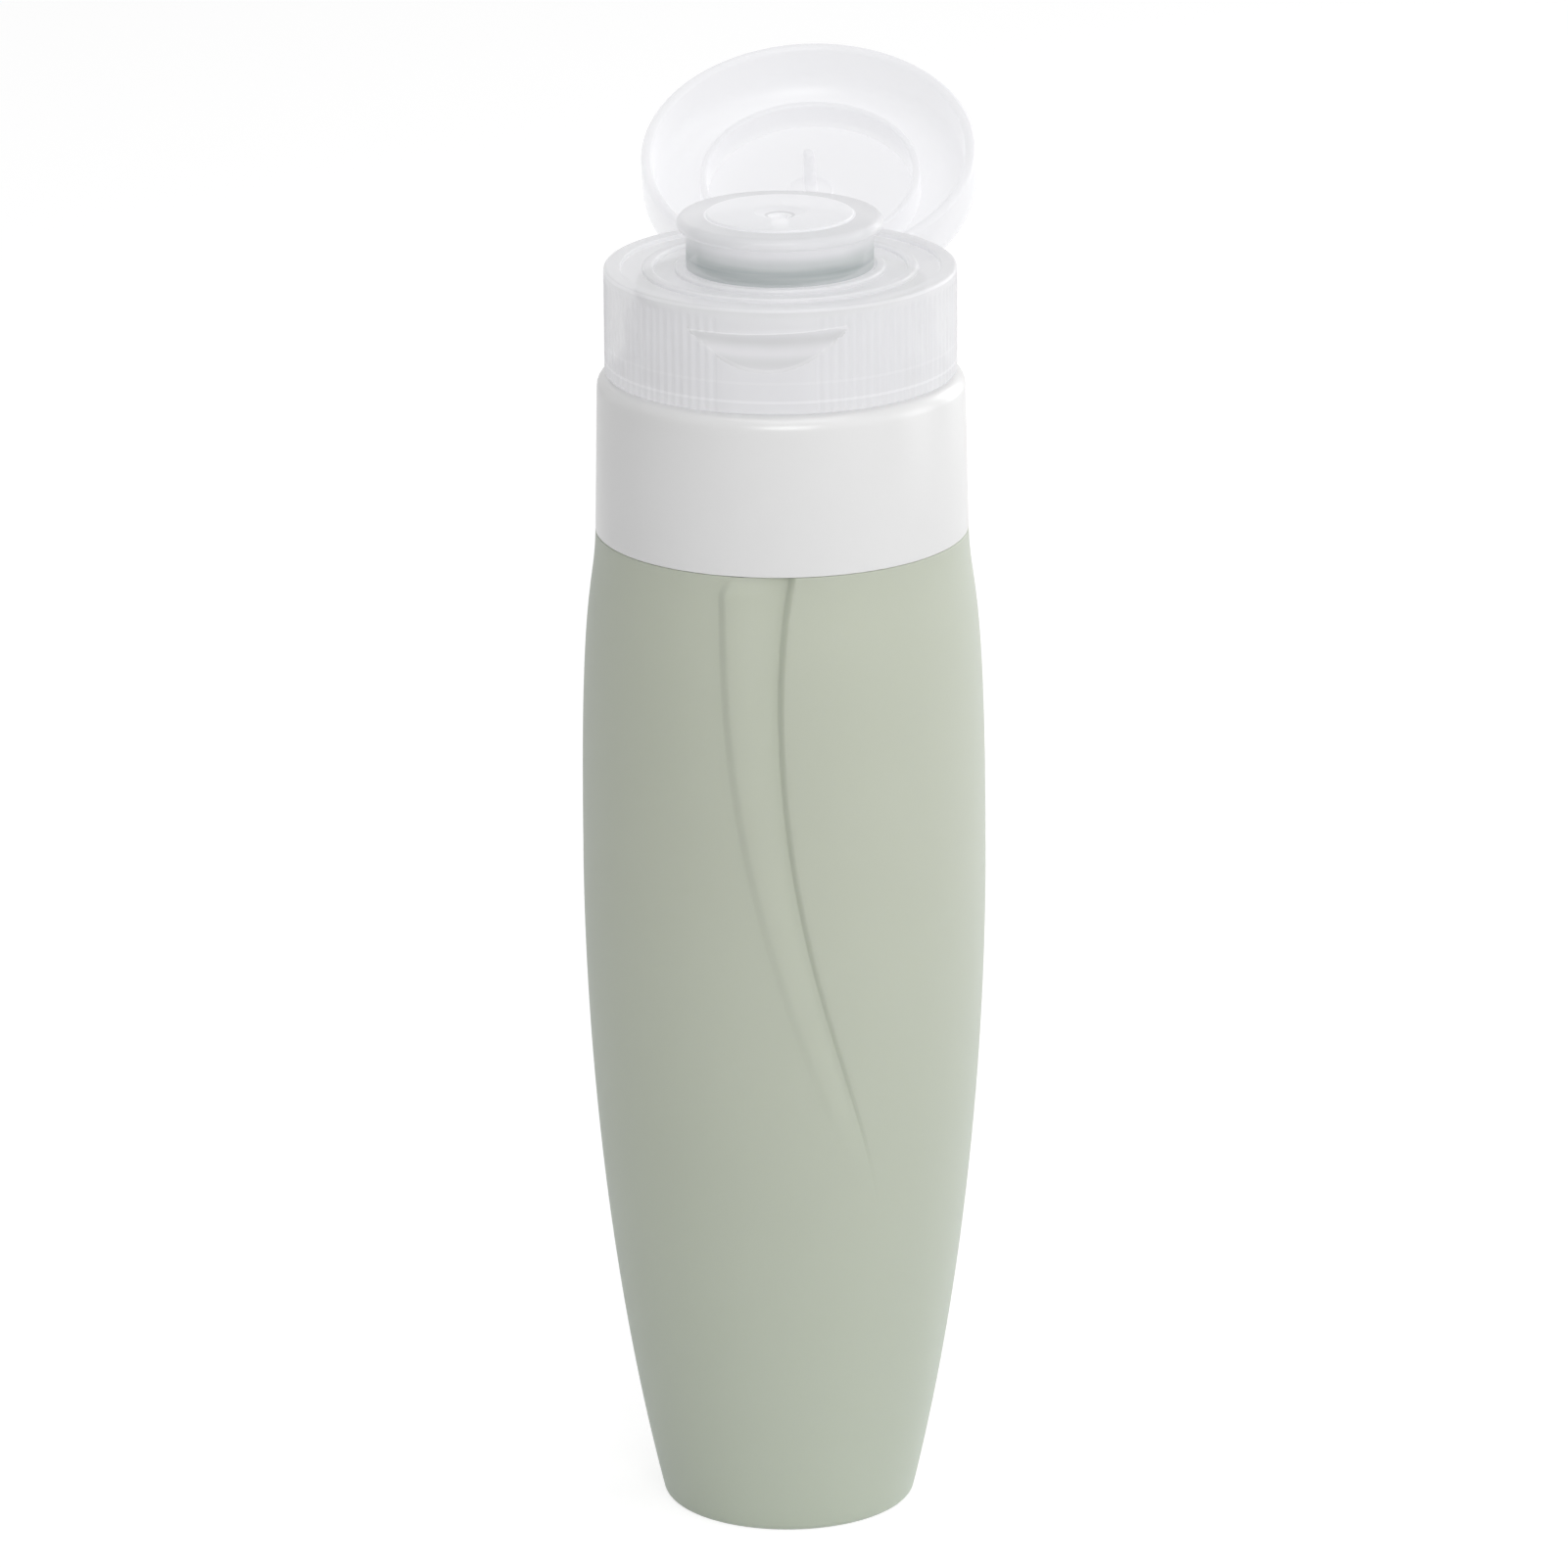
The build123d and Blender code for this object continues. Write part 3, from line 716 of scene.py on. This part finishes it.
def shapeCapWall(piece):
    points = readPoints(piece)
    radius = np.hypot(points[:, 0], points[:, 1]) / mm
    height = points[:, 2] / mm
    turn = np.arctan2(points[:, 0], -points[:, 1])
    onWall = radius > cap["radius"] - 0.02
    ribTop = cap["shoulder"] - cap["ribTopGap"]
    ribbed = onWall & (height < ribTop - 0.01) & (np.abs(np.degrees(turn)) > cap["plainTurn"])
    groove = cap["ribDepth"] * (0.5 - 0.5 * np.cos(turn * cap["ribs"]))
    radius = np.where(ribbed, radius - groove, radius)

    # the notch's ceiling leans and sags a little, and under it a slanting flat is cut into the wall
    ceiling, foot = cap["notchTop"], cap["notchTop"] - cap["notchDrop"]
    underCeiling = height < ceiling - cap["ceilingGap"] / 2
    reach = np.minimum((height - foot) / (ceiling - foot), (ribTop - height) / (ribTop - ceiling))
    outwards = 1 - cap["radius"] * (1 - np.cos(turn)) / cap["notchDepth"]
    lean = cap["notchTilt"] * cap["radius"] * np.sin(turn) * smoothStep(3 - 4 * np.abs(turn))
    sag = cap["notchDroop"] * np.clip(outwards, 0, 1)
    height = height + (lean - sag) * onWall * np.clip(reach, 0, 1)
    flat = cap["radius"] - cap["notchDepth"] * (height - foot) / cap["notchDrop"]
    inNotch = onWall & (reach > 0) & underCeiling & (np.abs(turn) < math.pi / 4)
    radius = np.where(inNotch, np.minimum(radius, flat / np.cos(turn)), radius)
    writePoints(piece, np.stack([radius * np.sin(turn), -radius * np.cos(turn), height], axis=1) * mm)


def makeCap():
    piece = spinProfile("capShell", capProfile(), cap["ribs"] * cap["ribSamples"])
    shapeCapWall(piece)
    halfWidth, inner, outer, floorZ, high = cap["recess"]
    recess = addBlock("recess", (-halfWidth, inner, floorZ), (halfWidth, outer, high))
    combine(piece, recess, "DIFFERENCE")
    halfWidth, inner, outer, low = cap["boss"]
    boss = addBlock("boss", (-halfWidth, inner, low), (halfWidth, outer, floorZ), cap["bossRound"])
    combine(piece, boss, "UNION")
    finishPiece(piece, capFinish, "cap", "frosted_plastic", "cap_base", smoothTo=40)


makeCap()
print("cap made")

lid = {
    "radius": 17.8, "wall": 1.2, "rim": 134.45, "top": 142.2, "crown": 0.6, "cornerRound": 3.2,
    "innerRound": 3.0, "edgeRound": 0.55, "ringInner": 10.95, "ringOuter": 11.75, "ringLow": 137.65,
    "ringRound": 0.25, "ringDrop": 0.4, "ringFoot": 0.37, "bossRadius": 2.35, "bossLow": 140.05,
    "bossRound": 0.1, "pinRadius": 0.72, "pinTip": 0.6, "pinLow": 134.6, "pinRound": 0.4, "steps": 240,
    "lug": (4.5, 17.2, 18.55, 131.97, 135.65), "lugRound": 0.15,
}


def makeLid():
    inner, ceiling = lid["radius"] - lid["wall"], lid["top"] - lid["wall"]
    piece = spinProfile("flipLid", roundOff([
        (0, lid["top"]), (lid["radius"], lid["top"] - lid["crown"], lid["cornerRound"]),
        (lid["radius"], lid["rim"], lid["edgeRound"]), (inner, lid["rim"], lid["edgeRound"]),
        (inner, ceiling - lid["crown"], lid["innerRound"]), (lid["ringOuter"], ceiling - lid["ringDrop"]),
        (lid["ringOuter"], lid["ringLow"], lid["ringRound"]),
        (lid["ringInner"], lid["ringLow"], lid["ringRound"]),
        (lid["ringInner"], ceiling - lid["ringFoot"]), (lid["bossRadius"], ceiling - lid["bossRound"]),
        (lid["bossRadius"], lid["bossLow"], lid["bossRound"]), (lid["pinRadius"], lid["bossLow"]),
        (lid["pinTip"], lid["pinLow"], lid["pinRound"]), (0, lid["pinLow"]),
    ], cuts=6), lid["steps"])
    halfWidth, lugInner, lugOuter, lugLow, lugTop = lid["lug"]
    lug = addBlock("lug", (-halfWidth, lugInner, lugLow), (halfWidth, lugOuter, lugTop), lid["lugRound"])
    combine(piece, lug, "UNION")
    piece.data.transform(lidOpening)
    finishPiece(piece, capFinish, "lid", "frosted_plastic", "lid", smoothTo=40)


makeLid()
print("lid made")

strip = {"width": 9.0, "thickness": 0.22, "inset": 0.12, "reach": 0.8, "slot": 0.9, "rows": 28}


def makeStrip():
    # drawn straight, as with the lid shut, then bent about the hinge to the open pose
    clearSelection()
    bpy.ops.mesh.primitive_grid_add(
        x_subdivisions=8, y_subdivisions=strip["rows"], size=1,
        location=hingeAt - Vector((0, strip["inset"] * mm, 0)), rotation=(math.pi / 2, 0, 0),
    )
    piece = bpy.context.object
    piece.name = "hingeStrip"
    piece.scale = (strip["width"] * mm, 2 * strip["reach"] * mm, 1)
    bpy.ops.object.transform_apply()
    shell = piece.modifiers.new("thickness", "SOLIDIFY")
    shell.thickness = strip["thickness"] * mm
    shell.offset = 0
    bpy.ops.object.modifier_apply(modifier=shell.name)
    points = readPoints(piece)
    turnLimit = math.radians(-hinge["range_deg"][0])
    for index, point in enumerate(points):
        share = float(smoothStep((point[2] - hingeAt.z) / (strip["slot"] * mm) + 0.5))
        turned = Matrix.Rotation(turnLimit * share, 3, Vector(hinge["axis"])) @ (Vector(point) - hingeAt)
        points[index] = hingeAt + turned
    writePoints(piece, points)
    finishPiece(piece, capFinish, None, "frosted_plastic", "living_hinge", smoothTo=60)
    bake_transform(piece)


makeStrip()
frame["nodes"]["sealing_gasket"].data.materials.clear()
frame["nodes"]["sealing_gasket"].data.materials.append(gasketFinish)
print("hinge strip made")

# Studio: pale floor, white surroundings, soft boxes, and the photograph's camera

studio = {
    "distance": 1.0, "height": 0.3949, "turn": 4.8, "aim": 0.07846, "roll": -0.43, "focalPixels": 10274,
    "photoPixels": 1601, "sensor": 36.0, "nearest": 0.05, "floorHalf": 4.0, "floorRoughness": 0.9,
    "floorColour": (0.93, 0.93, 0.93, 1), "floorGlow": 1.32, "glowShare": 0.6, "fill": 0.25,
    "white": (1, 1, 1, 1), "lookAt": (0, 0, 0.09),
}
lamps = {
    "rightBox": {"place": (0.75, -0.45, 0.45), "size": (0.5, 0.9), "power": 1.0},
    "edgeBox": {"place": (0.75, 0.10, 0.20), "size": (0.3, 0.6), "power": 1.4},
    "backBox": {"place": (0.50, 0.60, 0.25), "size": (0.3, 0.6), "power": 1.55},
    "topBox": {"place": (0.1, -0.2, 1.1), "size": (0.7, 0.7), "power": 2.9},
    "frontBox": {"place": (0.15, -1.0, 0.60), "size": (0.6, 0.5), "power": 4.7},
    "leftBox": {"place": (-0.65, 0.375, 0.10), "size": (0.3, 0.6), "power": 0.18},
}


def whiteShare(place):
    # 1 for rays that see the surroundings directly, through the plastic or in a gloss
    rays = place.node("ShaderNodeLightPath").socket.node.outputs
    seen = Shade(place.tree, rays["Is Camera Ray"]) + Shade(place.tree, rays["Is Transmission Ray"])
    return place.maths("MINIMUM", seen + Shade(place.tree, rays["Is Glossy Ray"]), 1.0)


def makeFloor():
    clearSelection()
    bpy.ops.mesh.primitive_plane_add(size=2 * studio["floorHalf"], location=(0, 0, cadBox[0][2]))
    floor = bpy.context.object
    floor.name = "floor"
    material, tree, surface, place = startMaterial(
        "paleFloor", Base_Color=studio["floorColour"], Roughness=studio["floorRoughness"]
    )
    glow = place.node("ShaderNodeEmission", None, Color=studio["white"], Strength=studio["floorGlow"])
    lit = Shade(tree, surface.outputs[0])
    blended = place.node("ShaderNodeMixShader", None, studio["glowShare"] * whiteShare(place), lit, glow)
    tree.links.new(blended.socket, tree.nodes["Material Output"].inputs["Surface"])
    floor.data.materials.append(material)


def lightWorld():
    world = bpy.data.worlds.new("studioWorld")
    bpy.context.scene.world = world
    world.use_nodes = True
    tree = world.node_tree
    fill = tree.nodes["Background"]
    fill.inputs["Color"].default_value = studio["white"]
    fill.inputs["Strength"].default_value = studio["fill"]
    place = Shade(tree, tree.nodes.new("ShaderNodeTexCoord").outputs["Generated"])
    white = place.node("ShaderNodeBackground", None, Color=studio["white"], Strength=1.0)
    dim = Shade(tree, fill.outputs[0])
    blended = place.node("ShaderNodeMixShader", None, whiteShare(place), dim, white)
    tree.links.new(blended.socket, tree.nodes["World Output"].inputs["Surface"])


def addSoftBoxes():
    for name, lamp in lamps.items():
        light = bpy.data.lights.new(name, "AREA")
        light.shape = "RECTANGLE"
        light.size, light.size_y = lamp["size"]
        light.energy = lamp["power"]
        stand = bpy.data.objects.new(name, light)
        bpy.context.scene.collection.objects.link(stand)
        stand.location = lamp["place"]
        towards = Vector(studio["lookAt"]) - Vector(lamp["place"])
        stand.rotation_euler = towards.to_track_quat("-Z", "Y").to_euler()


def addCamera():
    turn = math.radians(studio["turn"])
    away = studio["distance"]
    place = Vector((away * math.sin(turn), -away * math.cos(turn), studio["height"]))
    camera = bpy.data.cameras.new("camera")
    camera.sensor_width = studio["sensor"]
    camera.lens = studio["sensor"] * studio["focalPixels"] / studio["photoPixels"]
    camera.clip_start = studio["nearest"]
    rig = bpy.data.objects.new("camera", camera)
    bpy.context.scene.collection.objects.link(rig)
    look = (Vector((0, 0, studio["aim"])) - place).to_track_quat("-Z", "Y").to_matrix().to_4x4()
    roll = Matrix.Rotation(math.radians(studio["roll"]), 4, "Z")
    rig.matrix_world = Matrix.Translation(place) @ look @ roll
    bpy.context.scene.camera = rig


makeFloor()
lightWorld()
addSoftBoxes()
addCamera()
bpy.context.scene.view_settings.view_transform = "Standard"
print("studio made")
